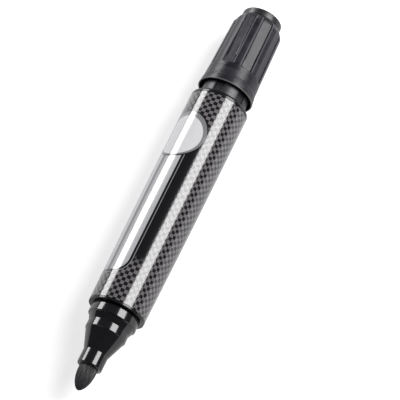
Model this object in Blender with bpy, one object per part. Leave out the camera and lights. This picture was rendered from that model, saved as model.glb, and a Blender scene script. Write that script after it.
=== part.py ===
"""Refillable whiteboard marker, lying on its side with its cap posted on the rear plug.

Units are metres and +Z is up. The marker's axis lies along X with the nib towards +X.
The origin is the bottom centre of the whole marker. Along the axis, a station is the
distance from the barrel's rear rim towards the nib, and a depth is the distance from
the cap's mouth towards its crown. Angles around the axis run from +Z towards +Y.
"""

import math

import bmesh
import bpy
from mathutils import Matrix

MM = 0.001

# Every turned piece has this many flat sides, each of which touches the stated radius.
SIDES = 32
# Space between two pieces that touch.
FIT = 0.3 * MM

# Barrel, outside
BARREL_LENGTH = 80.7 * MM
BARREL_REAR_RADIUS = 10.0 * MM
BARREL_FRONT_RADIUS = 9.35 * MM
REAR_SHOULDER_LENGTH = 1.5 * MM
REAR_EDGE_RADIUS = 1.2 * MM
FRONT_RIM_LENGTH = 0.5 * MM
LABEL_THICKNESS = 0.25 * MM
TAPER_RINGS = 6

# Barrel, inside
FRONT_BORE_RADIUS = 7.7 * MM
MOUTH_DEPTH = 2.4 * MM
RESERVOIR_RIB_COUNT = 4
RESERVOIR_RIB_WIDTH = 0.8 * MM

# Screw thread between the barrel and the rear plug
THREAD_PITCH = 2.5 * MM
THREAD_TURNS = 2.25
THREAD_START = 3.7 * MM
THREAD_CORE_RADIUS = 7.1 * MM
THREAD_HEIGHT = 0.7 * MM
THREAD_ROOT_WIDTH = 1.1 * MM
THREAD_CREST_WIDTH = 0.6 * MM

# Rear plug
PLUG_HEAD_LENGTH = 10.65 * MM
PLUG_HEAD_RADIUS = 8.15 * MM
PLUG_EDGE_RADIUS = 1.35 * MM
PLUG_BORE_RADIUS = 5.8 * MM
PLUG_END_WALL = 1.4 * MM
PLUG_RIB_COUNT = 6
PLUG_RIB_ANGLE = math.radians(37)
PLUG_RIB_PHASE = math.radians(19.8)
PLUG_GROOVE_DEPTH = 0.4 * MM
PLUG_GROOVE_LENGTH = 6.8 * MM

# Sealing ring on the plug's neck
SEAL_SECTION_RADIUS = 0.5 * MM

# Nib and its holder
NIB_RADIUS = 2.93 * MM
NIB_EXPOSED_LENGTH = 7.95 * MM
NIB_POINT_LENGTH = 6.6 * MM
# How slim the point is: 1 makes half an ellipse, more is slimmer.
NIB_POINT_POWER = 1.2
NIB_SHANK_IN_RESERVOIR = 7.0 * MM
COLLAR_RADIUS = 7.95 * MM
COLLAR_LENGTH = 3.2 * MM
COLLAR_SLOPE_LENGTH = 2.0 * MM
BAND_RADIUS = 6.7 * MM
BAND_LENGTH = 2.5 * MM
CONE_REAR_RADIUS = 6.5 * MM
CONE_LENGTH = 6.7 * MM
SNOUT_RADIUS = 4.05 * MM
SNOUT_LENGTH = 4.85 * MM
SNOUT_EDGE_RADIUS = 0.45 * MM
SPIGOT_LENGTH = 7.7 * MM
SPIGOT_WALL = 1.2 * MM
NIB_TUBE_WALL = 1.1 * MM

# Ink reservoir
RESERVOIR_WRAP_RADIUS = 6.95 * MM
RESERVOIR_WRAP_THICKNESS = 0.25 * MM
RESERVOIR_REAR_STATION = 12.4 * MM

# Cap, outside
CAP_LENGTH = 32.0 * MM
CAP_POSTED_GAP = 4.0 * MM
CAP_LIP_RADIUS = 9.7 * MM
CAP_BAND_RADIUS = 9.18 * MM
CAP_FLARE_LENGTH = 3.6 * MM
CAP_FLUTE_MOUTH_DEPTH = 7.9 * MM
CAP_FLUTED_MOUTH_RADIUS = 8.98 * MM
CAP_FLUTED_CROWN_RADIUS = 8.55 * MM
CAP_CHAMFER_LENGTH = 2.2 * MM
CAP_CROWN_RADIUS = 7.3 * MM
FLUTE_COUNT = 8
FLUTE_FLOOR_WIDTH = 3.7 * MM
FLUTE_TOP_WIDTH = 5.1 * MM
FLUTE_DEPTH = 0.45 * MM
FLUTE_PHASE = math.radians(27.7)
DISC_RADIUS = 6.98 * MM
DISC_HEIGHT = 2.6 * MM
DISC_EDGE_RADIUS = 0.5 * MM
DISC_SKIRT_THICKNESS = 0.5 * MM

# Cap, inside
CAP_LIP_WALL = 0.5 * MM
CAP_POST_STEP_DEPTH = 7.2 * MM
CAP_BORE_MOUTH_RADIUS = 7.5 * MM
CAP_BORE_CROWN_RADIUS = 7.2 * MM
CAP_CROWN_WALL = 1.5 * MM
LINER_WALL = 0.75 * MM
LINER_LENGTH = 14.6 * MM
LINER_FLOOR = 0.6 * MM
LINER_FLANGE_THICKNESS = 0.6 * MM

# Places that follow from the sizes above
LABEL_REAR = REAR_SHOULDER_LENGTH + FIT
LABEL_FRONT = BARREL_LENGTH - FRONT_RIM_LENGTH - FIT
COLLAR_REAR = BARREL_LENGTH + FIT
BAND_REAR = COLLAR_REAR + COLLAR_LENGTH + COLLAR_SLOPE_LENGTH
CONE_REAR = BAND_REAR + BAND_LENGTH
SNOUT_REAR = CONE_REAR + CONE_LENGTH
SNOUT_FRONT = SNOUT_REAR + SNOUT_LENGTH
NIB_TIP_STATION = SNOUT_FRONT + NIB_EXPOSED_LENGTH
SPIGOT_REAR = COLLAR_REAR - SPIGOT_LENGTH
RESERVOIR_FRONT = SPIGOT_REAR - FIT
THREAD_CREST_RADIUS = THREAD_CORE_RADIUS + THREAD_HEIGHT
THREAD_END = THREAD_START + THREAD_PITCH * THREAD_TURNS
PLUG_TIP = THREAD_END + THREAD_ROOT_WIDTH
THREAD_BORE_RADIUS = THREAD_CORE_RADIUS + FIT
MOUTH_RADIUS = THREAD_CREST_RADIUS + FIT
CROWN_STATION = -(CAP_POSTED_GAP + CAP_LENGTH)
AXIS_HEIGHT = BARREL_REAR_RADIUS
MID_STATION = (CROWN_STATION + NIB_TIP_STATION) / 2


def clear_scene():
    """Remove every object that is in the scene."""
    for obj in list(bpy.data.objects):
        bpy.data.objects.remove(obj, do_unlink=True)


def plastic(name, colour, roughness, metallic=0.0):
    """A Principled material with one colour."""
    material = bpy.data.materials.new(name)
    material.use_nodes = True
    shader = material.node_tree.nodes["Principled BSDF"]
    shader.inputs["Base Color"].default_value = (*colour, 1.0)
    shader.inputs["Roughness"].default_value = roughness
    shader.inputs["Metallic"].default_value = metallic
    material.diffuse_color = (*colour, 1.0)
    return material


def frame(name, location, turn=0.0, parent=None):
    """An empty that its children are placed from."""
    empty = bpy.data.objects.new(name, None)
    empty.empty_display_size = 5 * MM
    empty.location = location
    empty.rotation_euler = (0.0, 0.0, turn)
    empty.parent = parent
    bpy.context.scene.collection.objects.link(empty)
    return empty


def new_object(name, bm, material, parent):
    """A smooth-shaded mesh object from a bmesh, placed at its parent's origin."""
    bmesh.ops.recalc_face_normals(bm, faces=bm.faces)
    bmesh.ops.triangulate(bm, faces=[f for f in bm.faces if len(f.verts) > 4])
    mesh = bpy.data.meshes.new(name)
    bm.to_mesh(mesh)
    bm.free()
    mesh.shade_smooth()
    mesh.set_sharp_from_angle(angle=math.radians(30))
    obj = bpy.data.objects.new(name, mesh)
    if material:
        mesh.materials.append(material)
    obj.parent = parent
    bpy.context.scene.collection.objects.link(obj)
    return obj


def boolean(obj, cutter, operation):
    """Cut or join with a helper that stays in the file but isn't part of the marker."""
    cutter.hide_render = True
    cutter.display_type = "WIRE"
    modifier = obj.modifiers.new(f"{operation.lower()}_{cutter.name}", "BOOLEAN")
    modifier.operation = operation
    modifier.solver = "EXACT"
    modifier.object = cutter


def turned(name, outline, material, parent):
    """The solid that an outline of (position, radius) points makes when it turns round the axis.

    The outline closes on itself, except where it starts and ends on the axis.
    """
    reach = 1 / math.cos(math.pi / SIDES)
    bm = bmesh.new()
    verts = [bm.verts.new((x, 0.0, r * reach)) for x, r in outline]
    for a, b in zip(verts, verts[1:]):
        bm.edges.new((a, b))
    on_axis = outline[0][1] == 0 and outline[-1][1] == 0
    if not on_axis:
        bm.edges.new((verts[-1], verts[0]))
    bmesh.ops.rotate(bm, verts=bm.verts, matrix=Matrix.Rotation(math.pi / SIDES, 3, "X"))
    bmesh.ops.spin(
        bm,
        geom=bm.verts[:] + bm.edges[:],
        cent=(0.0, 0.0, 0.0),
        axis=(1.0, 0.0, 0.0),
        angle=2 * math.pi,
        steps=SIDES,
        use_merge=True,
    )
    bmesh.ops.remove_doubles(bm, verts=bm.verts, dist=0.001 * MM)
    return new_object(name, bm, material, parent)


def arc(centre, radius, start, end, steps):
    """Points on a quarter or other part of a circle; angles in degrees from the +position axis."""
    angles = [math.radians(start + (end - start) * i / steps) for i in range(steps + 1)]
    return [(centre[0] + radius * math.cos(a), centre[1] + radius * math.sin(a)) for a in angles]


def barrel_radius(station):
    """The barrel's outer radius: full at the rear and drawn in towards the nib."""
    share = station / BARREL_LENGTH
    return BARREL_REAR_RADIUS + (BARREL_FRONT_RADIUS - BARREL_REAR_RADIUS) * share**2


def taper(rear, front, inset):
    """Outline points along the barrel's taper, set in from its surface."""
    stations = [rear + (front - rear) * i / TAPER_RINGS for i in range(TAPER_RINGS + 1)]
    return [(station, barrel_radius(station) - inset) for station in stations]


def bore_radius(station):
    """The barrel's inner radius, which opens a little from the thread to the front."""
    share = (station - MOUTH_DEPTH) / (BARREL_LENGTH - MOUTH_DEPTH)
    return THREAD_BORE_RADIUS + (FRONT_BORE_RADIUS - THREAD_BORE_RADIUS) * share


def helix_bar(name, sections, phase, parent):
    """A closed bar wound along the thread.

    sections holds one cross-section for each step: its turn number, and its
    (position, radius) corners. Position counts from the thread's centre line.
    """
    bm = bmesh.new()
    rings = []
    for turns, corners in sections:
        angle = phase + 2 * math.pi * turns
        station = THREAD_START + THREAD_PITCH * turns
        ring = [
            bm.verts.new((station + along, -r * math.sin(angle), r * math.cos(angle)))
            for along, r in corners
        ]
        rings.append(ring)
    for near, far in zip(rings, rings[1:]):
        for i in range(len(near)):
            j = (i + 1) % len(near)
            bm.faces.new((near[i], near[j], far[j], far[i]))
    bm.faces.new(rings[0])
    bm.faces.new(rings[-1])
    bmesh.ops.triangulate(bm, faces=bm.faces)
    return new_object(name, bm, None, parent)


def thread_sections(first_turn, last_turn, corners_at):
    """Cross-sections at even steps from one turn number to another."""
    steps = math.ceil((last_turn - first_turn) * SIDES)
    turns = [first_turn + (last_turn - first_turn) * i / steps for i in range(steps + 1)]
    return [(turn, corners_at(turn)) for turn in turns]


def male_thread_corners(turn):
    """The plug's ridge, which rises over the first and last eighth of a turn."""
    rise = min(1.0, 8 * turn, 8 * (THREAD_TURNS - turn))
    crest = THREAD_CORE_RADIUS + THREAD_HEIGHT * max(rise, 0.15)
    root = THREAD_CORE_RADIUS - FIT
    return [
        (-THREAD_ROOT_WIDTH / 2, root),
        (THREAD_ROOT_WIDTH / 2, root),
        (THREAD_CREST_WIDTH / 2, crest),
        (-THREAD_CREST_WIDTH / 2, crest),
    ]


def female_thread_corners(_turn):
    """The barrel's groove: the ridge with the fit's clearance all round."""
    flank = (THREAD_ROOT_WIDTH - THREAD_CREST_WIDTH) / 2 / THREAD_HEIGHT
    inner_half = THREAD_ROOT_WIDTH / 2 + FIT
    outer_half = inner_half - flank * (THREAD_HEIGHT + FIT)
    inner = THREAD_CORE_RADIUS
    return [
        (-inner_half, inner),
        (inner_half, inner),
        (outer_half, MOUTH_RADIUS),
        (-outer_half, MOUTH_RADIUS),
    ]


def bar(bm, near, far):
    """A six-sided bar between two rings of four corners."""
    first = [bm.verts.new(corner) for corner in near]
    last = [bm.verts.new(corner) for corner in far]
    for i in range(4):
        j = (i + 1) % 4
        bm.faces.new((first[i], first[j], last[j], last[i]))
    bm.faces.new(first)
    bm.faces.new(last)


def around(bm, angle):
    """Turn what a bmesh holds round the axis, from +Z towards +Y."""
    bmesh.ops.rotate(bm, verts=bm.verts, matrix=Matrix.Rotation(-angle, 3, "X"))


def bars_around(name, count, phase, near, far, parent):
    """The same bar at even angles round the axis, as one helper object."""
    bm = bmesh.new()
    for _ in range(count):
        bar(bm, near, far)
        around(bm, 2 * math.pi / count)
    around(bm, phase)
    return new_object(name, bm, None, parent)


def trapezoid(x, low, low_width, high, high_width):
    """Four corners across a groove's or a rib's length."""
    return [
        (x, -low_width / 2, low),
        (x, low_width / 2, low),
        (x, high_width / 2, high),
        (x, -high_width / 2, high),
    ]


def add_barrel(root):
    """The tube that everything sits in, with its female thread and reservoir ribs."""
    recess = LABEL_THICKNESS + FIT
    rim = BARREL_REAR_RADIUS - REAR_EDGE_RADIUS
    outline = arc((REAR_EDGE_RADIUS, rim), REAR_EDGE_RADIUS, 180, 90, 4)
    outline.append((REAR_SHOULDER_LENGTH, BARREL_REAR_RADIUS))
    outline += taper(REAR_SHOULDER_LENGTH, BARREL_LENGTH - FRONT_RIM_LENGTH, recess)
    outline.append((BARREL_LENGTH - FRONT_RIM_LENGTH, BARREL_FRONT_RADIUS))
    outline.append((BARREL_LENGTH, BARREL_FRONT_RADIUS))
    outline.append((BARREL_LENGTH, FRONT_BORE_RADIUS))
    outline.append((MOUTH_DEPTH, THREAD_BORE_RADIUS))
    outline.append((MOUTH_DEPTH, MOUTH_RADIUS))
    outline.append((0.0, MOUTH_RADIUS))
    barrel = turned("barrel_tube", outline, plastic("barrel_black", (0.012, 0.012, 0.014), 0.25), root)

    first_turn = (MOUTH_DEPTH / 2 - THREAD_START) / THREAD_PITCH
    last_turn = THREAD_TURNS + FIT / THREAD_PITCH
    sections = thread_sections(first_turn, last_turn, female_thread_corners)
    boolean(barrel, helix_bar("thread_cutter", sections, 0.0, root), "DIFFERENCE")

    rib_top = RESERVOIR_WRAP_RADIUS + FIT
    rib_rear = RESERVOIR_REAR_STATION + 2 * FIT
    rib_front = SPIGOT_REAR - 4 * FIT
    near = trapezoid(
        rib_rear, rib_top, RESERVOIR_RIB_WIDTH, bore_radius(rib_rear) + FIT, RESERVOIR_RIB_WIDTH
    )
    far = trapezoid(
        rib_front, rib_top, RESERVOIR_RIB_WIDTH, bore_radius(rib_front) + FIT, RESERVOIR_RIB_WIDTH
    )
    ribs = bars_around("reservoir_ribs", RESERVOIR_RIB_COUNT, math.pi / 4, near, far, root)
    boolean(barrel, ribs, "UNION")


def add_label(root):
    """The printed film sleeve in the barrel's recess."""
    outline = taper(LABEL_REAR, LABEL_FRONT, 0.0)
    outline += reversed(taper(LABEL_REAR, LABEL_FRONT, LABEL_THICKNESS))
    turned("label_sleeve", outline, plastic("label_print", (0.12, 0.12, 0.125), 0.2, 0.3), root)


def add_nib_holder(root):
    """The front section, whose spigot goes into the barrel and whose snout holds the nib."""
    spigot_radius = FRONT_BORE_RADIUS - FIT
    nib_hole = NIB_RADIUS + FIT
    tube = nib_hole + NIB_TUBE_WALL
    cavity = spigot_radius - SPIGOT_WALL
    cavity_front = BAND_REAR
    outline = [
        (SPIGOT_REAR, spigot_radius),
        (COLLAR_REAR, spigot_radius),
        (COLLAR_REAR, COLLAR_RADIUS),
        (COLLAR_REAR + COLLAR_LENGTH, COLLAR_RADIUS),
        (BAND_REAR, BAND_RADIUS),
        (CONE_REAR, BAND_RADIUS),
        (CONE_REAR, CONE_REAR_RADIUS),
        (SNOUT_REAR, SNOUT_RADIUS),
    ]
    edge = (SNOUT_FRONT - SNOUT_EDGE_RADIUS, SNOUT_RADIUS - SNOUT_EDGE_RADIUS)
    outline += arc(edge, SNOUT_EDGE_RADIUS, 90, 0, 3)
    outline += [
        (SNOUT_FRONT, nib_hole),
        (SPIGOT_REAR, nib_hole),
        (SPIGOT_REAR, tube),
        (cavity_front, tube),
        (cavity_front, BAND_RADIUS - SPIGOT_WALL),
        (COLLAR_REAR + COLLAR_LENGTH, cavity),
        (SPIGOT_REAR, cavity),
    ]
    turned("nib_holder", outline, plastic("holder_black", (0.01, 0.01, 0.012), 0.12), root)


def add_nib(root):
    """The bullet nib and its shank, which ends in the reservoir."""
    rear = RESERVOIR_FRONT - NIB_SHANK_IN_RESERVOIR
    shoulder = NIB_TIP_STATION - NIB_POINT_LENGTH
    outline = [(rear, 0.0), (rear, NIB_RADIUS - FIT), (rear + FIT, NIB_RADIUS), (shoulder, NIB_RADIUS)]
    steps = 7
    for i in range(1, steps):
        angle = math.pi / 2 * i / steps
        station = shoulder + NIB_POINT_LENGTH * math.sin(angle)
        outline.append((station, NIB_RADIUS * math.cos(angle) ** NIB_POINT_POWER))
    outline.append((NIB_TIP_STATION, 0.0))
    turned("nib", outline, plastic("nib_felt", (0.03, 0.03, 0.035), 0.95), root)


def add_reservoir(root):
    """The fibre core and the film round it."""
    wrap_inner = RESERVOIR_WRAP_RADIUS - RESERVOIR_WRAP_THICKNESS
    core = wrap_inner - FIT
    hole = NIB_RADIUS + FIT
    hole_rear = RESERVOIR_FRONT - NIB_SHANK_IN_RESERVOIR - FIT
    core_outline = [
        (RESERVOIR_REAR_STATION, 0.0),
        (RESERVOIR_REAR_STATION, core),
        (RESERVOIR_FRONT, core),
        (RESERVOIR_FRONT, hole),
        (hole_rear, hole),
        (hole_rear, 0.0),
    ]
    turned("ink_reservoir", core_outline, plastic("fibre", (0.08, 0.08, 0.09), 1.0), root)
    wrap_outline = [
        (RESERVOIR_REAR_STATION, RESERVOIR_WRAP_RADIUS),
        (RESERVOIR_FRONT, RESERVOIR_WRAP_RADIUS),
        (RESERVOIR_FRONT, wrap_inner),
        (RESERVOIR_REAR_STATION, wrap_inner),
    ]
    turned("reservoir_wrap", wrap_outline, plastic("clear_film", (0.7, 0.7, 0.72), 0.3), root)


def seal_centre():
    """Station and radius of the middle of the sealing ring's section."""
    radius = MOUTH_RADIUS - FIT - SEAL_SECTION_RADIUS
    return (MOUTH_DEPTH / 2, radius)


def add_plug_seal(screw):
    """The rubber ring in the plug's neck groove."""
    outline = arc(seal_centre(), SEAL_SECTION_RADIUS, 0, 315, 7)
    turned("plug_seal", outline, plastic("seal_rubber", (0.05, 0.05, 0.05), 0.8), screw)


def add_rear_plug(screw):
    """The screw plug: ribbed head, seal groove, threaded hollow spigot."""
    end = -PLUG_HEAD_LENGTH
    seal_station, seal_radius = seal_centre()
    neck = seal_radius - SEAL_SECTION_RADIUS - FIT
    groove_half = SEAL_SECTION_RADIUS + FIT
    edge = (end + PLUG_EDGE_RADIUS, PLUG_HEAD_RADIUS - PLUG_EDGE_RADIUS)
    outline = arc(edge, PLUG_EDGE_RADIUS, 180, 90, 4)
    outline = [(end, 0.0)] + outline
    outline += [
        (-FIT, PLUG_HEAD_RADIUS),
        (-FIT, THREAD_CREST_RADIUS),
        (seal_station - groove_half, THREAD_CREST_RADIUS),
        (seal_station - groove_half, neck),
        (seal_station + groove_half, neck),
        (seal_station + groove_half, THREAD_CORE_RADIUS),
        (PLUG_TIP, THREAD_CORE_RADIUS),
        (PLUG_TIP, PLUG_BORE_RADIUS),
        (end + PLUG_END_WALL, PLUG_BORE_RADIUS),
        (end + PLUG_END_WALL, 0.0),
    ]
    plug = turned("rear_plug", outline, plastic("plug_black", (0.015, 0.015, 0.018), 0.3), screw)

    sections = thread_sections(0.0, THREAD_TURNS, male_thread_corners)
    boolean(plug, helix_bar("thread_ridge", sections, 0.0, screw), "UNION")

    groove_angle = 2 * math.pi / PLUG_RIB_COUNT - PLUG_RIB_ANGLE
    floor = PLUG_HEAD_RADIUS - PLUG_GROOVE_DEPTH
    width = 2 * PLUG_HEAD_RADIUS * math.sin(groove_angle / 2)
    outside = PLUG_HEAD_RADIUS + 2 * MM
    near = trapezoid(-PLUG_GROOVE_LENGTH, floor, width, outside, width)
    far = trapezoid(-FIT, floor, width, outside, width)
    phase = PLUG_RIB_PHASE + math.pi / PLUG_RIB_COUNT
    boolean(plug, bars_around("plug_grooves", PLUG_RIB_COUNT, phase, near, far, screw), "DIFFERENCE")


def add_cap_shell(cap):
    """The fluted cap: positions here are depths from its mouth."""
    crown = CAP_LENGTH - DISC_HEIGHT - FIT
    inner_crown = crown - CAP_CROWN_WALL
    post_bore = PLUG_HEAD_RADIUS + FIT
    lip_inner = CAP_LIP_RADIUS - CAP_LIP_WALL
    skirt_outer = liner_outer_radius() + FIT + DISC_SKIRT_THICKNESS
    outline = [
        (0.0, CAP_LIP_RADIUS - FIT),
        (FIT, CAP_LIP_RADIUS),
        (CAP_FLARE_LENGTH / 2, (2 * CAP_LIP_RADIUS + CAP_BAND_RADIUS) / 3),
        (CAP_FLARE_LENGTH, CAP_BAND_RADIUS),
        (CAP_FLUTE_MOUTH_DEPTH, CAP_FLUTED_MOUTH_RADIUS),
        (crown - CAP_CHAMFER_LENGTH, CAP_FLUTED_CROWN_RADIUS),
        (crown, CAP_CROWN_RADIUS),
        (crown, skirt_outer + FIT),
        (inner_crown, skirt_outer + FIT),
        (inner_crown, CAP_BORE_CROWN_RADIUS),
        (CAP_POST_STEP_DEPTH, CAP_BORE_MOUTH_RADIUS),
        (CAP_POST_STEP_DEPTH, post_bore),
        (CAP_FLARE_LENGTH, post_bore),
        (0.0, lip_inner),
    ]
    shell = turned("cap_shell", outline, plastic("cap_black", (0.02, 0.02, 0.024), 0.4), cap)

    slope = (CAP_FLUTED_CROWN_RADIUS - CAP_FLUTED_MOUTH_RADIUS) / (
        crown - CAP_CHAMFER_LENGTH - CAP_FLUTE_MOUTH_DEPTH
    )
    outside = CAP_FLUTED_MOUTH_RADIUS + 2 * MM
    widen = (FLUTE_TOP_WIDTH - FLUTE_FLOOR_WIDTH) / FLUTE_DEPTH

    def flute_section(depth):
        floor = CAP_FLUTED_MOUTH_RADIUS + slope * (depth - CAP_FLUTE_MOUTH_DEPTH) - FLUTE_DEPTH
        top_width = FLUTE_FLOOR_WIDTH + widen * (outside - floor)
        return trapezoid(depth, floor, FLUTE_FLOOR_WIDTH, outside, top_width)

    near = flute_section(CAP_FLUTE_MOUTH_DEPTH)
    far = flute_section(crown + 1 * MM)
    flutes = bars_around("flute_cutters", FLUTE_COUNT, -FLUTE_PHASE, near, far, cap)
    boolean(shell, flutes, "DIFFERENCE")


def liner_outer_radius():
    """The liner grips the snout, so its size comes from the snout."""
    return SNOUT_RADIUS + FIT + LINER_WALL


def add_cap_liner(cap):
    """The seal cup inside the cap, open towards the cap's mouth."""
    crown = CAP_LENGTH - DISC_HEIGHT - FIT
    closed_end = crown - FIT / 2
    inner = SNOUT_RADIUS + FIT
    outer = liner_outer_radius()
    mouth = closed_end - LINER_LENGTH
    flange_end = crown - CAP_CROWN_WALL - FIT
    flange_radius = CAP_BORE_CROWN_RADIUS - FIT
    outline = [
        (closed_end, 0.0),
        (closed_end, outer),
        (flange_end, outer),
        (flange_end, flange_radius),
        (flange_end - LINER_FLANGE_THICKNESS, flange_radius),
        (flange_end - LINER_FLANGE_THICKNESS, outer),
        (mouth, outer),
        (mouth, outer - LINER_WALL / 3),
        (mouth + LINER_WALL, inner),
        (closed_end - LINER_FLOOR, inner),
        (closed_end - LINER_FLOOR, 0.0),
    ]
    turned("cap_liner", outline, plastic("liner_plastic", (0.75, 0.75, 0.75), 0.4), cap)


def add_cap_end_disc(cap):
    """The crown's round button, whose skirt goes through the shell and round the liner."""
    underside = CAP_LENGTH - DISC_HEIGHT
    skirt_inner = liner_outer_radius() + FIT
    skirt_outer = skirt_inner + DISC_SKIRT_THICKNESS
    skirt_end = underside - FIT - CAP_CROWN_WALL
    outline = [(underside + FIT / 2, 0.0), (underside + FIT / 2, skirt_inner)]
    outline += [(skirt_end, skirt_inner), (skirt_end, skirt_outer), (underside, skirt_outer)]
    edge = (CAP_LENGTH - DISC_EDGE_RADIUS, DISC_RADIUS - DISC_EDGE_RADIUS)
    outline.append((underside, DISC_RADIUS))
    outline += arc(edge, DISC_EDGE_RADIUS, 90, 0, 3)
    outline.append((CAP_LENGTH, 0.0))
    turned("cap_end_disc", outline, plastic("disc_black", (0.02, 0.02, 0.024), 0.35), cap)


def build():
    """Model the whole marker."""
    clear_scene()
    root = frame("barrel_frame", (-MID_STATION, 0.0, AXIS_HEIGHT))
    screw = frame("plug_screw_axis", (0.0, 0.0, 0.0), parent=root)
    cap = frame("cap_slide_axis", (-CAP_POSTED_GAP, 0.0, 0.0), turn=math.pi, parent=screw)
    add_barrel(root)
    add_label(root)
    add_nib_holder(root)
    add_nib(root)
    add_reservoir(root)
    add_plug_seal(screw)
    add_rear_plug(screw)
    add_cap_shell(cap)
    add_cap_liner(cap)
    add_cap_end_disc(cap)


build()
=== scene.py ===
"""Finish of the whiteboard marker: fine surfaces, materials, lights and camera."""

import math

import bmesh
import bpy
from mathutils import Matrix, Vector


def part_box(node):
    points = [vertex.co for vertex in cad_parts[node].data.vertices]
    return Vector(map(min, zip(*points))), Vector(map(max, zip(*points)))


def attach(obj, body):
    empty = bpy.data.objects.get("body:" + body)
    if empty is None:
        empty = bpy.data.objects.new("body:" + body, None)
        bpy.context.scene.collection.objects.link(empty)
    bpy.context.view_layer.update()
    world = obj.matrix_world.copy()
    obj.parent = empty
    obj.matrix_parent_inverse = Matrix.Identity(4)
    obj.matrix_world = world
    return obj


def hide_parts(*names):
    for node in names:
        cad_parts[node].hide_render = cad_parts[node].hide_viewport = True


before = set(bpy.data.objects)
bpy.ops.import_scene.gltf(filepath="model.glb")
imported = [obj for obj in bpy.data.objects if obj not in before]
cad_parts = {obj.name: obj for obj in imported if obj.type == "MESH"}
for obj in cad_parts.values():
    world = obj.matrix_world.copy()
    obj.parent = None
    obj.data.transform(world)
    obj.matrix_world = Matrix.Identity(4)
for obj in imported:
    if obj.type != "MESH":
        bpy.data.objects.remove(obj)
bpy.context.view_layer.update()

MM = 0.001
SIDES = 144

# Places along the marker are stations in mm from the barrel's rear end, positive towards the nib.
BARREL_LOW, BARREL_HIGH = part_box("barrel_tube")
REAR_X = BARREL_LOW.x
AXIS_Z = (BARREL_LOW.z + BARREL_HIGH.z) / 2


def ends_of(node):
    """Rear and front stations of a CAD node, in mm."""
    box_low, box_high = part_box(node)
    return (box_low.x - REAR_X) / MM, (box_high.x - REAR_X) / MM


# Barrel and label, 0.01 mm inside the CAD model's outside
BARREL_LENGTH = (BARREL_HIGH.x - BARREL_LOW.x) / MM
REAR_RADIUS = (BARREL_HIGH.z - BARREL_LOW.z) / 2 / MM - 0.01
FRONT_RADIUS = 9.35
FILM = 0.12
LABEL_REAR = 1.8
LABEL_FRONT = BARREL_LENGTH - 0.8
MOUTH_RADIUS = 8.1
MOUTH_DEPTH = 2.4
THREAD_BORE = 7.4
FRONT_BORE = 7.7

# Screw thread
PITCH = 2.5
TURNS = 2.25
THREAD_START = 3.7
THREAD_CORE = 7.1
THREAD_HEIGHT = 0.7
THREAD_ROOT = 1.1
THREAD_CREST = 0.6
FIT = 0.3

# Front section
COLLAR_REAR = BARREL_LENGTH + 0.3
SPIGOT_LENGTH = 7.7
SPIGOT_RADIUS = 7.38
COLLAR_RADIUS = 7.94
BAND_STEP_RADIUS = 6.69
SNOUT_RADIUS = 4.04
SNOUT_LENGTH = 19.25
NIB_HOLE_RADIUS = 3.0

# Nib
NIB_RADIUS = 2.93
NIB_REAR, NIB_TIP = ends_of("nib")
NIB_POINT = 6.6

# Plug: the ribs of its head stand between flat-floored grooves
PLUG_REAR, PLUG_TIP = ends_of("rear_plug")
PLUG_RADIUS = 8.14
PLUG_BORE = 5.8
PLUG_GROOVES = 6
PLUG_RIB_PHASE = math.radians(19.8)
GROOVE_HALF = 1.62
GROOVE_FLOOR = 7.55
GROOVE_REAR = -6.8
HEAD_FRONT = -0.3
SEAL_FRONT = 2.0

# Cap: places along it are depths in mm from its mouth
CAP_MOUTH = ends_of("cap_shell")[1]
CAP_CROWN = CAP_MOUTH - ends_of("cap_shell")[0]
LIP_RADIUS = 9.69
LIP_WALL = 0.5
LIP_STEP = 1.9
FLARE = 3.6
BAND_RADIUS = 9.18
BAND_LINE = 5.9
CHAMFER = 2.2
CROWN_RADIUS = 7.3
DISC_HOLE_RADIUS = 6.25
DISC_STEM_RADIUS = 5.85
DISC_FACE_RADIUS = 6.96

# Flutes of the cap
FLUTES = 8
FLUTE_PHASE = math.radians(27.7)
FLUTE_MOUTH = 7.9
FLUTED_MOUTH = 8.98
FLUTED_CROWN = 8.55
FLUTE_MEAN_RADIUS = 8.7
FLUTE_FLOOR_HALF = 1.85
FLUTE_WALL = 0.58
FLUTE_DEPTH = 0.72
FLUTE_FLOOR_ANGLE = math.asin(FLUTE_FLOOR_HALF / FLUTE_MEAN_RADIUS)
FLUTE_TOP_ANGLE = math.asin((FLUTE_FLOOR_HALF + FLUTE_WALL) / FLUTE_MEAN_RADIUS)

# Print of the label: angles in degrees from the top, stations in mm
CELLS_ROUND = 48
CELL_LENGTH = 1.185
BAND_LOW, BAND_HIGH = -11.0, 14.0
BAND_FADE = (63.5, 67.5)
PANEL_LOW = -86.0
PANEL_FRONT = 70.5
PANEL_CORNER = 4.6
# Painted reflection on the foil panel: darker from the first angle to the middle one, lighter again by the
# last
PAINTED_REFLECTION_HIGH, PAINTED_REFLECTION_ANGLE, PAINTED_REFLECTION_LOW = -36.0, -49.5, -54.5
BADGE_STATION = 18.6
BADGE_ANGLE = -35.0
BADGE_RADIUS = 8.6
BADGE_HALO = 0.45
DISC_RADIUS = 7.55
EDGE = 0.07

# Ink and foil colours, and a painted reflection for the foil
BLACK = (0.006, 0.006, 0.007, 1.0)
GREY = (0.16, 0.147, 0.155, 1.0)
GRID_LINE = (0.09, 0.085, 0.09, 1.0)
FOIL = (0.55, 0.55, 0.57, 1.0)
# Painted reflection: the dark colour the foil panel is shaded towards in a band around the marker
PAINTED_FOIL_REFLECTION = (0.13, 0.13, 0.14, 1.0)
PANEL_LINE = (0.30, 0.30, 0.31, 1.0)
RING = (0.25, 0.25, 0.26, 1.0)
WHITE = (0.66, 0.66, 0.67, 1.0)

# Lights: distances in metres, angles in degrees from the top towards +Y
LIGHT_DISTANCE = 0.6
LIGHT_X = -0.29
LIGHT_LENGTH = 0.62
RIGHT_ANGLE, RIGHT_WIDTH, RIGHT_RADIANCE = 38.0, 0.37, 8.0
LEFT_ANGLE, LEFT_WIDTH, LEFT_RADIANCE = -68.0, 0.26, 7.2


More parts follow.
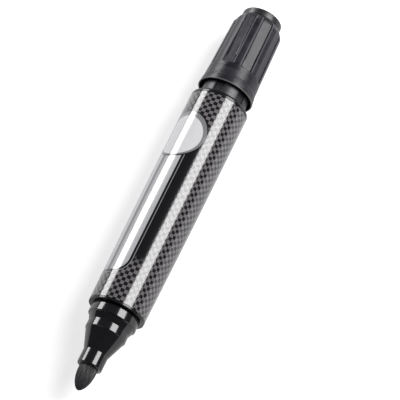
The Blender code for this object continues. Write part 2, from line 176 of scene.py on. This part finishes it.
def place(station, radius, angle):
    """World point of a station, a radius in mm and an angle from +Z towards +Y."""
    return Vector((
        REAR_X + station * MM,
        radius * MM * math.sin(angle),
        AXIS_Z + radius * MM * math.cos(angle),
    ))


def fillet(outline, steps=5):
    """The outline's points, with each (station, radius, rounding) corner made an arc."""
    points = []
    count = len(outline)
    for i, corner in enumerate(outline):
        here = Vector(corner[:2])
        rounding = corner[2] if len(corner) > 2 else 0.0
        if rounding == 0.0:
            points.append(tuple(here))
            continue
        before = (Vector(outline[i - 1][:2]) - here).normalized()
        after = (Vector(outline[(i + 1) % count][:2]) - here).normalized()
        half = before.angle(after) / 2
        reach = rounding / math.tan(half)
        centre = here + (before + after).normalized() * (rounding / math.sin(half))
        start = here + before * reach - centre
        end = here + after * reach - centre
        sweep = start.angle_signed(end)
        for k in range(steps + 1):
            turn = Matrix.Rotation(-sweep * k / steps, 2)
            points.append(tuple(centre + turn @ start))
    return points


def spread(start, end, count):
    """Even steps from start to end, both included."""
    return [start + (end - start) * i / (count - 1) for i in range(count)]


def even_angles(_station):
    """The same columns at every station."""
    return spread(0.0, 2 * math.pi, SIDES + 1)[:-1]


def straight(_station, radius, _angle):
    """The outline's own radius, the same all round."""
    return radius


def lathe(name, outline, body, material, stands_for, shape=straight, angles=even_angles,
          closed=True, sharp=40):
    """A piece turned about the marker's axis.

    outline is a loop of (station, radius) points. shape may change a point's radius
    with its angle, and angles gives the columns at a station. Points on the axis
    become one vertex, and an outline that isn't closed runs from the axis to the axis.
    """
    bm = bmesh.new()
    rows = []
    for station, radius in outline:
        if radius < 1e-6:
            rows.append([bm.verts.new(place(station, 0.0, 0.0))])
            continue
        rows.append([
            bm.verts.new(place(station, shape(station, radius, a), a)) for a in angles(station)
        ])
    pairs = list(zip(rows, rows[1:]))
    if closed:
        pairs.append((rows[-1], rows[0]))
    for near, far in pairs:
        bridge(bm, near, far)
    bmesh.ops.recalc_face_normals(bm, faces=bm.faces)
    mesh = bpy.data.meshes.new(name)
    bm.to_mesh(mesh)
    bm.free()
    mesh.shade_smooth()
    mesh.set_sharp_from_angle(angle=math.radians(sharp))
    piece = bpy.data.objects.new(name, mesh)
    bpy.context.scene.collection.objects.link(piece)
    mesh.materials.append(material)
    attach(piece, body)
    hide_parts(stands_for)
    return piece


def bridge(bm, near, far):
    """Faces between two rings, either of which may be a single vertex."""
    count = max(len(near), len(far))
    for i in range(count):
        j = (i + 1) % count
        corners = []
        if len(near) > 1:
            corners += [near[j], near[i]]
        else:
            corners.append(near[0])
        if len(far) > 1:
            corners += [far[i], far[j]]
        else:
            corners.append(far[0])
        if len(corners) > 2:
            bm.faces.new(corners)


class Nodes:
    """Short calls for building a material's nodes."""

    def __init__(self, name):
        self.material = bpy.data.materials.new(name)
        self.material.use_nodes = True
        self.tree = self.material.node_tree
        self.shader = self.tree.nodes["Principled BSDF"]

    def link(self, value, socket):
        if isinstance(value, bpy.types.NodeSocket):
            self.tree.links.new(value, socket)
        else:
            socket.default_value = value

    def node(self, kind, **settings):
        made = self.tree.nodes.new(kind)
        for key, value in settings.items():
            setattr(made, key, value)
        return made

    def math(self, operation, *values):
        made = self.node("ShaderNodeMath", operation=operation)
        for value, socket in zip(values, made.inputs):
            self.link(value, socket)
        return made.outputs[0]

    def ramp(self, value, low, high):
        """0 below low and 1 above high, smooth in between. low may be above high."""
        made = self.node("ShaderNodeMapRange", interpolation_type="SMOOTHSTEP")
        self.link(value, made.inputs["Value"])
        self.link(low, made.inputs["From Min"])
        self.link(high, made.inputs["From Max"])
        return made.outputs["Result"]

    def both(self, *values):
        result = values[0]
        for value in values[1:]:
            result = self.math("MULTIPLY", result, value)
        return result

    def mix(self, factor, low, high):
        made = self.node("ShaderNodeMix", data_type="RGBA")
        self.link(factor, made.inputs["Factor"])
        self.link(low, made.inputs[6])
        self.link(high, made.inputs[7])
        return made.outputs[2]

    def place(self):
        """Object coordinates as sockets: the coordinates, the station in mm and the angle in degrees."""
        coordinates = self.node("ShaderNodeTexCoord")
        parts = self.node("ShaderNodeSeparateXYZ")
        self.link(coordinates.outputs["Object"], parts.inputs[0])
        x, y, z = parts.outputs
        up = self.math("SUBTRACT", z, AXIS_Z)
        station = self.math("MULTIPLY", self.math("SUBTRACT", x, REAR_X), 1 / MM)
        angle = self.math("MULTIPLY", self.math("ARCTAN2", y, up), math.degrees(1))
        return coordinates.outputs["Object"], station, angle

    def stretched(self, along, across, coordinates):
        """Coordinates scaled along the marker and across it, for streaks."""
        made = self.node("ShaderNodeMapping")
        self.link(coordinates, made.inputs["Vector"])
        made.inputs["Scale"].default_value = (along, across, across)
        return made.outputs[0]

    def noise(self, coordinates, scale, detail=4.0):
        made = self.node("ShaderNodeTexNoise")
        self.link(coordinates, made.inputs["Vector"])
        made.inputs["Scale"].default_value = scale
        made.inputs["Detail"].default_value = detail
        return made.outputs["Fac"]

    def bump(self, height, distance):
        made = self.node("ShaderNodeBump")
        made.inputs["Distance"].default_value = distance
        self.link(height, made.inputs["Height"])
        self.link(made.outputs[0], self.shader.inputs["Normal"])

    def finish(self, colour, roughness, specular=0.5, metallic=0.0, coat=0.0, coat_roughness=0.05):
        self.link(colour, self.shader.inputs["Base Color"])
        self.link(roughness, self.shader.inputs["Roughness"])
        self.link(specular, self.shader.inputs["Specular IOR Level"])
        self.link(metallic, self.shader.inputs["Metallic"])
        self.link(coat, self.shader.inputs["Coat Weight"])
        self.link(coat_roughness, self.shader.inputs["Coat Roughness"])
        return self.material


def grained_plastic(name, colour, roughness, grain, specular=0.5, coat=0.0):
    """Moulded plastic with a fine grain in its gloss and surface."""
    n = Nodes(name)
    coordinates, _station, _angle = n.place()
    fine = n.noise(coordinates, 3500.0, 3.0)
    broad = n.noise(coordinates, 260.0, 3.0)
    dark = tuple(0.8 * c for c in colour[:3]) + (1.0,)
    light = tuple(1.25 * c for c in colour[:3]) + (1.0,)
    tint = n.mix(broad, dark, light)
    vary = 0.3 * roughness
    spread_gloss = n.math("MULTIPLY_ADD", n.math("ADD", fine, broad), vary, roughness - vary)
    n.bump(fine, grain * MM)
    return n.finish(tint, spread_gloss, specular, coat=coat, coat_roughness=roughness)


def label_material():
    """Printed film: checkers, a black band, a foil panel with a painted dark reflection band, and a bare
    badge.
    """
    n = Nodes("label_print")
    coordinates, station, angle = n.place()
    mean = (REAR_RADIUS + FRONT_RADIUS) / 2
    arc = n.math("MULTIPLY", n.math("RADIANS", angle), mean)

    def arc_of(degrees):
        return math.radians(degrees) * mean

    # Checkers
    columns = n.math("DIVIDE", station, CELL_LENGTH)
    rows = n.math("MULTIPLY", angle, CELLS_ROUND / 360)
    across = n.math("SINE", n.math("MULTIPLY", columns, math.pi))
    around = n.math("SINE", n.math("MULTIPLY", rows, math.pi))
    odd_column = n.ramp(across, -0.16, 0.10)
    odd_row = n.ramp(around, -0.16, 0.10)
    checker = n.math("SUBTRACT", 1.0, n.math("ABSOLUTE", n.math("SUBTRACT", odd_column, odd_row)))
    cross = n.math("MAXIMUM", n.ramp(n.math("ABSOLUTE", across), 0.96, 1.0),
                   n.ramp(n.math("ABSOLUTE", around), 0.96, 1.0))
    tile = n.mix(n.math("MULTIPLY", cross, 0.3), GREY, GRID_LINE)
    checkers = n.mix(checker, tile, BLACK)

    # Black band beside the panel
    in_band = n.both(
        n.ramp(arc, arc_of(BAND_LOW) - EDGE, arc_of(BAND_LOW) + EDGE),
        n.ramp(arc, arc_of(BAND_HIGH) + EDGE, arc_of(BAND_HIGH) - EDGE),
        n.ramp(station, BADGE_STATION, BADGE_STATION + 0.1),
        n.ramp(station, BAND_FADE[1], BAND_FADE[0]),
    )
    colour = n.mix(in_band, checkers, BLACK)

    # Foil panel with a rounded corner
    corner_station = PANEL_FRONT - PANEL_CORNER
    corner_arc = arc_of(BAND_LOW) - PANEL_CORNER
    beyond = n.math("MAXIMUM", n.math("SUBTRACT", station, corner_station), 0.0)
    above = n.math("MAXIMUM", n.math("SUBTRACT", arc, corner_arc), 0.0)
    outside = n.math("SQRT", n.math("ADD", n.both(beyond, beyond), n.both(above, above)))

    def panel(grow):
        return n.both(
            n.ramp(outside, PANEL_CORNER + grow + EDGE, PANEL_CORNER + grow - EDGE),
            n.ramp(arc, arc_of(PANEL_LOW) - grow - EDGE, arc_of(PANEL_LOW) - grow + EDGE),
            n.ramp(station, BADGE_STATION, BADGE_STATION + 0.1),
        )

    colour = n.mix(panel(1.0), colour, PANEL_LINE)
    colour = n.mix(panel(0.8), colour, BLACK)
    # Painted reflection: the foil is darkened in a band at a fixed angle around the marker
    shade = n.both(n.ramp(angle, PAINTED_REFLECTION_HIGH, PAINTED_REFLECTION_ANGLE), n.ramp(angle, PAINTED_REFLECTION_LOW, PAINTED_REFLECTION_ANGLE))
    colour = n.mix(panel(0.0), colour, n.mix(shade, FOIL, PAINTED_FOIL_REFLECTION))

    # Badge: a dark halo, a silver ring and a white disc
    def disc(station_at, radius):
        ds = n.math("SUBTRACT", station, station_at)
        da = n.math("SUBTRACT", arc, arc_of(BADGE_ANGLE))
        reach = n.math("SQRT", n.math("ADD", n.both(ds, ds), n.both(da, da)))
        return n.ramp(reach, radius + EDGE, radius - EDGE)

    colour = n.mix(disc(BADGE_STATION, BADGE_RADIUS + BADGE_HALO), colour, BLACK)
    ring = disc(BADGE_STATION, BADGE_RADIUS)
    colour = n.mix(ring, colour, RING)
    white = disc(BADGE_STATION + BADGE_RADIUS - DISC_RADIUS - BADGE_HALO, DISC_RADIUS)
    colour = n.mix(white, colour, WHITE)
    waves = n.noise(n.stretched(1.0, 3.0, coordinates), 90.0, 2.0)
    n.bump(waves, 0.03 * MM)
    n.shader.inputs["Coat IOR"].default_value = 1.6
    bare = n.both(n.math("MAXIMUM", panel(0.0), ring), n.math("SUBTRACT", 1.0, white))
    metal = n.math("MULTIPLY", bare, 0.2)
    return n.finish(colour, 0.2, specular=0.3, metallic=metal, coat=1.0, coat_roughness=0.1)


def nib_material():
    """Ink-soaked felt: lighter streaks along the shank, dark towards the tip."""
    n = Nodes("nib_felt")
    coordinates, station, _angle = n.place()
    streaks = n.noise(n.stretched(0.12, 1.0, coordinates), 2600.0, 5.0)
    fibres = n.noise(coordinates, 4200.0, 5.0)
    tip = n.ramp(station, NIB_TIP - NIB_POINT - 0.5, NIB_TIP - 2.0)
    pale = n.mix(n.ramp(streaks, 0.35, 0.7), (0.028, 0.028, 0.031, 1.0), (0.13, 0.122, 0.122, 1.0))
    colour = n.mix(n.math("MULTIPLY", tip, 0.8), pale, (0.022, 0.022, 0.026, 1.0))
    n.bump(n.math("ADD", streaks, fibres), 0.12 * MM)
    return n.finish(colour, 0.8, specular=0.3)


def thread_rise(station, angle, widen):
    """Height of the screw ridge at a point, from 0 to 1."""
    best = 0.0
    root, crest = THREAD_ROOT / 2 + widen, THREAD_CREST / 2 + widen
    for lead in range(-1, 4):
        turns = lead - angle / (2 * math.pi)
        if turns < -0.02 or turns > TURNS + 0.02:
            continue
        offset = abs(station - THREAD_START - PITCH * turns)
        flank = (root - offset) / (root - crest)
        ease = min(1.0, max(0.0, 8 * turns), max(0.0, 8 * (TURNS - turns)))
        best = max(best, min(1.0, flank) * ease)
    return max(0.0, best)


def taper(station):
    """Outside radius of the barrel, which narrows towards the nib."""
    return REAR_RADIUS - (REAR_RADIUS - FRONT_RADIUS) * (station / BARREL_LENGTH) ** 2


def add_barrel():
    outer = [(0.0, REAR_RADIUS, 1.1), (LABEL_REAR - 0.15, REAR_RADIUS),
             (LABEL_REAR - 0.15, taper(LABEL_REAR) - FILM - 0.02)]
    outer += [(s, taper(s) - FILM - 0.02) for s in spread(3.0, LABEL_FRONT - 1.0, 16)]
    outer += [(LABEL_FRONT + 0.15, FRONT_RADIUS - FILM - 0.02), (LABEL_FRONT + 0.15, FRONT_RADIUS),
              (BARREL_LENGTH, FRONT_RADIUS, 0.15), (BARREL_LENGTH, FRONT_BORE, 0.1)]
    bore = [(s, THREAD_BORE) for s in spread(12.0, MOUTH_DEPTH, 78)]
    mouth = [(MOUTH_DEPTH, MOUTH_RADIUS), (0.0, MOUTH_RADIUS, 0.15)]
    outline = fillet(outer + bore + mouth)

    def with_groove(station, radius, angle):
        if radius > THREAD_BORE + 0.01 or not MOUTH_DEPTH < station < 11.9:
            return radius
        return radius + THREAD_HEIGHT * thread_rise(station, angle, FIT)

    material = grained_plastic("barrel_gloss", (0.009, 0.009, 0.010), 0.16, 0.004, 0.5)
    return lathe("barrel", outline, "barrel", material, "barrel_tube", with_groove)


def add_label():
    outer = [(s, taper(s)) for s in spread(LABEL_REAR, LABEL_FRONT, 24)]
    inner = [(s, r - FILM) for s, r in reversed(outer)]
    return lathe("label", outer + inner, "barrel", label_material(), "label_sleeve")


def add_holder():
    start = COLLAR_REAR
    outline = fillet([
        (start - SPIGOT_LENGTH, SPIGOT_RADIUS), (start, SPIGOT_RADIUS),
        (start, COLLAR_RADIUS, 0.12),
        (start + 2.92, COLLAR_RADIUS, 0.04), (start + 3.17, 7.69, 0.04), (start + 3.2, 7.45, 0.08),
        (start + 5.2, BAND_STEP_RADIUS, 0.5), (start + 7.7, BAND_STEP_RADIUS, 0.1), (start + 7.78, 6.5, 0.05),
        (start + 14.4, SNOUT_RADIUS, 0.6), (start + SNOUT_LENGTH, SNOUT_RADIUS, 0.44),
        (start + SNOUT_LENGTH, NIB_HOLE_RADIUS, 0.1), (start - SPIGOT_LENGTH, NIB_HOLE_RADIUS),
    ])
    material = grained_plastic("holder_gloss", (0.008, 0.008, 0.009), 0.13, 0.0004, 0.7, coat=0.3)
    return lathe("holder", outline, "barrel", material, "nib_holder")


def add_nib():
    base = NIB_TIP - NIB_POINT
    outline = [(NIB_REAR, 0.0), (NIB_REAR, NIB_RADIUS)]
    outline += [(s, NIB_RADIUS) for s in spread(base - 4.0, base, 3)]
    for t in spread(0.0, 90.0, 28)[1:-1]:
        a = math.radians(t)
        outline.append((base + NIB_POINT * math.sin(a), NIB_RADIUS * math.cos(a) ** 1.2))
    outline.append((NIB_TIP, 0.0))
    return lathe("felt_nib", outline, "barrel", nib_material(), "nib", closed=False)


def plug_angles(_station):
    """Columns that follow the edges of the grooves."""
    half = math.asin(GROOVE_HALF / PLUG_RADIUS)
    edge = math.radians(0.9)
    columns = []
    for k in range(PLUG_GROOVES):
        middle = PLUG_RIB_PHASE + math.pi / PLUG_GROOVES + 2 * math.pi * k / PLUG_GROOVES
        for a in spread(-half + edge, half - edge, 8) + [half, half + edge / 2]:
            columns.append(middle + a)
        rib = 2 * math.pi / PLUG_GROOVES
        columns += [middle + a for a in spread(half + edge, rib - half - edge, 10)[:-1]]
        columns += [middle + a for a in (rib - half - edge, rib - half - edge / 2, rib - half)]
    return columns


def grooved(station, radius, angle):
    """The plug's radius with its grooves and its screw ridge."""
    if station > 1.9:
        if radius < THREAD_CORE - 0.01 or station > PLUG_TIP - 0.1:
            return radius
        return radius + THREAD_HEIGHT * thread_rise(station, angle, 0.0)
    if radius < 7.0 or not GROOVE_REAR <= station <= -0.29:
        return radius
    step = 2 * math.pi / PLUG_GROOVES
    off = (angle - PLUG_RIB_PHASE) % step - step / 2
    across = abs(radius * math.sin(off))
    if across > GROOVE_HALF + 0.01:
        return radius
    ends = min(1.0, (station - GROOVE_REAR) / 0.25)
    floor = GROOVE_FLOOR / math.cos(off)
    wall = min(1.0, (GROOVE_HALF + 0.01 - across) / 0.13)
    return radius - max(0.0, radius - floor) * ends * wall


def add_plug():
    rear = PLUG_REAR
    outline = [(rear, 0.0)]
    outer = [(rear, 0.5), (rear, 6.0), (rear + 0.15, PLUG_RADIUS - 0.9, 0.5)]
    outer += [(rear + 1.3, PLUG_RADIUS, 0.8), (rear + 2.3, PLUG_RADIUS)]
    outer += [(rear + 2.36, PLUG_RADIUS - 0.08), (rear + 2.5, PLUG_RADIUS - 0.08)]
    outer += [(rear + 2.56, PLUG_RADIUS)]
    outer += [(GROOVE_REAR + s, PLUG_RADIUS) for s in (0.0, 0.12, 0.25)]
    outer += [(s, PLUG_RADIUS) for s in spread(-6.0, -0.55, 8)]
    outer += [(HEAD_FRONT, PLUG_RADIUS, 0.12), (HEAD_FRONT, 7.8), (0.4, 7.8), (0.4, 6.5)]
    outer += [(SEAL_FRONT, 6.5), (SEAL_FRONT, THREAD_CORE)]
    outer += [(s, THREAD_CORE) for s in spread(2.4, PLUG_TIP - 0.4, 84)]
    outer += [(PLUG_TIP, THREAD_CORE, 0.1), (PLUG_TIP, PLUG_BORE, 0.1)]
    outer += [(rear + 1.4, PLUG_BORE), (rear + 1.4, 0.0)]
    outline += fillet(outer)
    material = grained_plastic("plug_gloss", (0.016, 0.016, 0.020), 0.36, 0.004, 0.6)
    return lathe("plug", outline, "plug", material, "rear_plug", grooved, plug_angles,
                 closed=False)


def fluted_line(depth):
    """The cap's radius between the flutes, which narrows towards the crown."""
    share = (depth - FLUTE_MOUTH) / (CAP_CROWN - CHAMFER - FLUTE_MOUTH)
    return FLUTED_MOUTH + (FLUTED_CROWN - FLUTED_MOUTH) * share


def cap_angles(_station):
    """Columns that follow the edges of the flutes."""
    floor, top = FLUTE_FLOOR_ANGLE, FLUTE_TOP_ANGLE
    step = 2 * math.pi / FLUTES
    edge = math.radians(0.5)
    columns = []
    for k in range(FLUTES):
        middle = FLUTE_PHASE + step * k
        offsets = spread(-floor + edge, floor - edge, 7) + [floor, floor + edge]
        offsets += [top - edge, top]
        offsets += spread(top + edge, step - top - edge, 8)
        offsets += [step - top, step - top + edge, step - floor - edge, step - floor]
        columns += [middle + a for a in offsets]
    return columns


def fluted(station, radius, angle):
    """The cap's outer radius with its flutes."""
    depth = CAP_MOUTH - station
    if depth < FLUTE_MOUTH - 0.5 or radius < fluted_line(depth) - 1.6 or radius < 7.25:
        return radius
    step = 2 * math.pi / FLUTES
    off = (angle - FLUTE_PHASE + step / 2) % step - step / 2
    line = fluted_line(depth)
    across = abs(line * math.sin(off))
    floor = line - FLUTE_DEPTH * min(1.0, max(0.0, (depth - FLUTE_MOUTH + 0.3) / 0.5))
    height = floor + max(0.0, across - FLUTE_FLOOR_HALF) * FLUTE_DEPTH / FLUTE_WALL
    return min(radius, height / math.cos(off))


def add_cap():
    crown = CAP_CROWN
    outer = [(0.0, LIP_RADIUS, 0.24), (LIP_STEP, LIP_RADIUS - 0.27), (1.95, LIP_RADIUS - 0.33),
             (2.1, LIP_RADIUS - 0.33), (2.15, LIP_RADIUS - 0.29), (FLARE, BAND_RADIUS, 2.0),
             (BAND_LINE, 9.08), (5.95, 9.03), (6.1, 9.03), (6.15, 9.07),
             (FLUTE_MOUTH - 0.5, 9.0), (FLUTE_MOUTH - 0.3, 8.99), (FLUTE_MOUTH - 0.2, 8.985),
             (FLUTE_MOUTH, FLUTED_MOUTH), (FLUTE_MOUTH + 0.12, 8.977), (FLUTE_MOUTH + 0.2, 8.975)]
    outer += [(d, fluted_line(d)) for d in spread(FLUTE_MOUTH + 1.0, crown - CHAMFER - 0.4, 14)]
    outer += [(crown - CHAMFER, FLUTED_CROWN, 0.4)]
    outer += [(crown - CHAMFER * 0.5, (FLUTED_CROWN + CROWN_RADIUS) / 2)]
    outer += [(crown, CROWN_RADIUS, 0.12)]
    inner = [(crown, DISC_HOLE_RADIUS, 0.1), (crown - 1.5, DISC_HOLE_RADIUS), (crown - 1.5, 7.2),
             (7.2, 7.5), (7.2, 8.45),
             (3.6, 8.5, 1.0), (0.0, LIP_RADIUS - LIP_WALL, 0.12)]
    outline = [(CAP_MOUTH - d, r) for d, r in fillet(outer + inner)]
    return lathe("cap", outline, "cap", cap_material(), "cap_shell", fluted, cap_angles,
                 sharp=30)


def cap_material():
    """Satin grey-black plastic with drawn streaks and a fine grain, painted highlights on the flute walls and
    the lip's rim, and painted shadows in the flutes' corners.
    """
    n = Nodes("cap_satin")
    coordinates, station, angle = n.place()
    depth = n.math("SUBTRACT", CAP_MOUTH, station)
    streaks = n.noise(n.stretched(0.15, 1.0, coordinates), 1400.0, 5.0)
    fine = n.noise(coordinates, 4200.0, 3.0)
    broad = n.noise(coordinates, 220.0, 4.0)
    rings = n.noise(n.stretched(1.0, 0.1, coordinates), 1300.0, 5.0)
    smooth_band = n.ramp(depth, FLUTE_MOUTH, FLUTE_MOUTH - 1.5)
    elsewhere = n.math("SUBTRACT", 1.0, smooth_band)
    drawn = n.math("ADD", n.both(rings, smooth_band), n.both(streaks, elsewhere))
    shade = n.math("ADD", n.math("MULTIPLY", drawn, 0.5), n.math("MULTIPLY", broad, 0.5))
    colour = n.mix(n.ramp(shade, 0.3, 0.7), (0.008, 0.008, 0.011, 1.0), (0.026, 0.026, 0.034, 1.0))
    gloss = n.math("MULTIPLY_ADD", shade, 0.34, 0.14)

    # Painted light on the moulded edges: a painted highlight lightens the lip's rim and the flutes' side
    # walls, and a painted shadow darkens each flute's corner at its floor
    step = 360 / FLUTES
    first = math.degrees(FLUTE_PHASE) - step / 2
    turned = n.math("FLOORED_MODULO", n.math("SUBTRACT", angle, first), step)
    off = n.math("ABSOLUTE", n.math("SUBTRACT", turned, step / 2))
    floor_edge = math.degrees(FLUTE_FLOOR_ANGLE)
    along = n.both(
        n.ramp(depth, FLUTE_MOUTH - 0.3, FLUTE_MOUTH + 0.2),
        n.ramp(depth, CAP_CROWN - 0.2, CAP_CROWN - 1.2),
    )
    # Painted highlight on the flutes' side walls
    wall = n.both(along, n.ramp(off, floor_edge + 1.0, floor_edge + 1.8),
                  n.ramp(off, floor_edge + 4.6, floor_edge + 3.4))
    # Painted shadow where each flute's wall meets its floor
    corner = n.both(along, n.ramp(off, floor_edge - 2.0, floor_edge - 0.6),
                    n.ramp(off, floor_edge + 1.6, floor_edge + 0.6))
    # Painted highlight along the lip's rim at the mouth
    rim = n.both(n.ramp(depth, 0.45, 0.15), n.ramp(depth, -0.1, 0.0))
    colour = n.mix(n.math("MULTIPLY", wall, 0.8), colour, (0.13, 0.13, 0.15, 1.0))
    colour = n.mix(corner, colour, (0.003, 0.003, 0.004, 1.0))
    # Less gloss in the painted shadow of the flutes' corners
    specular = n.math("MULTIPLY_ADD", corner, -0.3, 0.4)
    colour = n.mix(rim, colour, (0.15, 0.145, 0.14, 1.0))
    n.bump(n.math("ADD", drawn, fine), 0.04 * MM)
    return n.finish(colour, gloss, specular)


def add_disc():
    rear, front = ends_of("cap_end_disc")
    rim = rear + 2.6
    outline = [(rear, 0.0)] + fillet([
        (rear, 0.3), (rear + 0.02, 5.9, 4.0), (rear + 0.1, DISC_FACE_RADIUS, 0.55),
        (rim, DISC_FACE_RADIUS, 0.12), (rim, DISC_STEM_RADIUS),
        (front, DISC_STEM_RADIUS, 0.1), (front, 5.42, 0.1), (rim, 5.42), (rim, 0.3),
    ]) + [(rim, 0.0)]
    material = grained_plastic("disc_satin", (0.014, 0.014, 0.017), 0.34, 0.004, 0.6)
    return lathe("crown_disc", outline, "cap", material, "cap_end_disc", closed=False)


def add_inner_pieces():
    """Reservoir, its wrap, the seal and the cap's liner, at their sizes in the frame."""
    ends = ends_of("ink_reservoir")
    felt = grained_plastic("reservoir_fibre", (0.05, 0.05, 0.055), 0.85, 0.05, 0.2)
    outline = [(ends[0], 0.0)] + fillet([
        (ends[0], 3.0), (ends[0], 6.4, 0.3), (ends[1], 6.4, 0.3), (ends[1], 3.2), (ends[1] - 7.2, 3.2),
    ]) + [(ends[1] - 7.2, 0.0)]
    lathe("reservoir", outline, "barrel", felt, "ink_reservoir", closed=False)
    film = grained_plastic("wrap_film", (0.6, 0.6, 0.62), 0.3, 0.01, 0.5)
    lathe("wrap", [(ends[0], 6.94), (ends[1], 6.94), (ends[1], 6.7), (ends[0], 6.7)],
          "barrel", film, "reservoir_wrap")
    rubber = grained_plastic("seal_rubber", (0.03, 0.03, 0.03), 0.6, 0.01, 0.4)
    ring = [(1.2 + 0.48 * math.cos(a), 7.3 + 0.48 * math.sin(a)) for a in spread(0, 2 * math.pi, 17)[:-1]]
    lathe("seal_ring", ring, "seal", rubber, "plug_seal")
    near, far = ends_of("cap_liner")
    natural = grained_plastic("liner_natural", (0.6, 0.6, 0.6), 0.4, 0.01, 0.5)
    flange = CAP_MOUTH - 27.3
    outline = [(near, 0.0), (near, 5.09), (flange, 5.09), (flange, 6.89), (flange + 0.6, 6.89),
               (flange + 0.6, 5.09), (far, 5.09), (far, 4.35), (near + 0.6, 4.35), (near + 0.6, 0.0)]
    lathe("liner", outline, "cap", natural, "cap_liner", closed=False)


def add_softbox(name, degrees, width, radiance):
    """A softbox that faces the marker's middle, with its long side along X."""
    lamp = bpy.data.lights.new(name, "AREA")
    lamp.shape = "RECTANGLE"
    lamp.size, lamp.size_y = LIGHT_LENGTH, width
    lamp.energy = radiance * math.pi * LIGHT_LENGTH * width
    light = bpy.data.objects.new(name, lamp)
    location = (LIGHT_X, *around_axis(LIGHT_DISTANCE, degrees))
    target = Vector((location[0], 0.0, AXIS_Z))
    back = (Vector(location) - target).normalized()
    side = Vector((1.0, 0.0, 0.0))
    up = back.cross(side)
    turn = Matrix((side, up, back)).transposed()
    light.matrix_world = Matrix.Translation(location) @ turn.to_4x4()
    bpy.context.scene.collection.objects.link(light)
    return light


def around_axis(distance, degrees):
    """(y, z) at a distance from the marker's axis, at an angle from +Z towards +Y."""
    a = math.radians(degrees)
    return distance * math.sin(a), AXIS_Z + distance * math.cos(a)


def add_stage():
    """Two softboxes, a world that is white to the camera, and the floor."""
    add_softbox("softbox_right", RIGHT_ANGLE, RIGHT_WIDTH, RIGHT_RADIANCE)
    add_softbox("softbox_left", LEFT_ANGLE, LEFT_WIDTH, LEFT_RADIANCE)

    world = bpy.data.worlds.new("surroundings")
    bpy.context.scene.world = world
    world.use_nodes = True
    tree = world.node_tree
    path = tree.nodes.new("ShaderNodeLightPath")
    mix = tree.nodes.new("ShaderNodeMix")
    mix.data_type = "RGBA"
    mix.inputs[6].default_value = (0.06, 0.06, 0.065, 1.0)
    mix.inputs[7].default_value = (1.0, 1.0, 1.0, 1.0)
    tree.links.new(path.outputs["Is Camera Ray"], mix.inputs["Factor"])
    tree.links.new(mix.outputs[2], tree.nodes["Background"].inputs["Color"])

    bm = bmesh.new()
    bmesh.ops.create_grid(bm, x_segments=1, y_segments=1, size=2.0)
    mesh = bpy.data.meshes.new("floor")
    bm.to_mesh(mesh)
    bm.free()
    floor = bpy.data.objects.new("floor", mesh)
    bpy.context.scene.collection.objects.link(floor)
    mesh.materials.append(floor_material())


def floor_material():
    """White to the camera, with the shadow kept, and a weaker white glow in reflections."""
    n = Nodes("floor_white")
    n.finish((0.60, 0.60, 0.61, 1.0), 0.9, specular=0.0)
    path = n.node("ShaderNodeLightPath")
    glow = n.node("ShaderNodeEmission")
    n.link((1.0, 1.0, 1.0, 1.0), glow.inputs["Color"])
    place = n.node("ShaderNodeTexCoord").outputs["Object"]
    away = n.node("ShaderNodeVectorMath", operation="LENGTH")
    n.link(place, away.inputs[0])
    strength = n.math("MULTIPLY_ADD", n.ramp(away.outputs["Value"], 0.15, 0.5), 0.5, 0.62)
    reflected = n.math("ADD", path.outputs["Is Glossy Ray"], path.outputs["Is Transmission Ray"])
    seen = n.math("MULTIPLY_ADD", reflected, 0.3, path.outputs["Is Camera Ray"])
    n.link(n.both(seen, strength), glow.inputs["Strength"])
    lit = n.node("ShaderNodeAddShader")
    n.tree.links.new(n.shader.outputs[0], lit.inputs[0])
    n.tree.links.new(glow.outputs[0], lit.inputs[1])
    n.tree.links.new(lit.outputs[0], n.tree.nodes["Material Output"].inputs["Surface"])
    return n.material


def add_camera():
    """The photographed view: from above, behind the nib's left side."""
    right = Vector((-0.40256, 0.91539, 0.0))
    up = Vector((-0.81864, -0.36001, 0.44745))
    back = Vector((0.40959, 0.18013, 0.89431))
    turn = Matrix((right, up, back)).transposed()
    data = bpy.data.cameras.new("camera")
    data.lens = 158.3
    data.sensor_width = 36.0
    data.clip_start = 0.01
    camera = bpy.data.objects.new("camera", data)
    camera.matrix_world = Matrix.Translation((0.2280, 0.1090, 0.5114)) @ turn.to_4x4()
    bpy.context.scene.collection.objects.link(camera)
    bpy.context.scene.camera = camera


add_barrel()
add_label()
add_holder()
add_nib()
add_plug()
add_cap()
add_disc()
add_inner_pieces()
add_stage()
add_camera()
bpy.context.scene.view_settings.view_transform = "Standard"
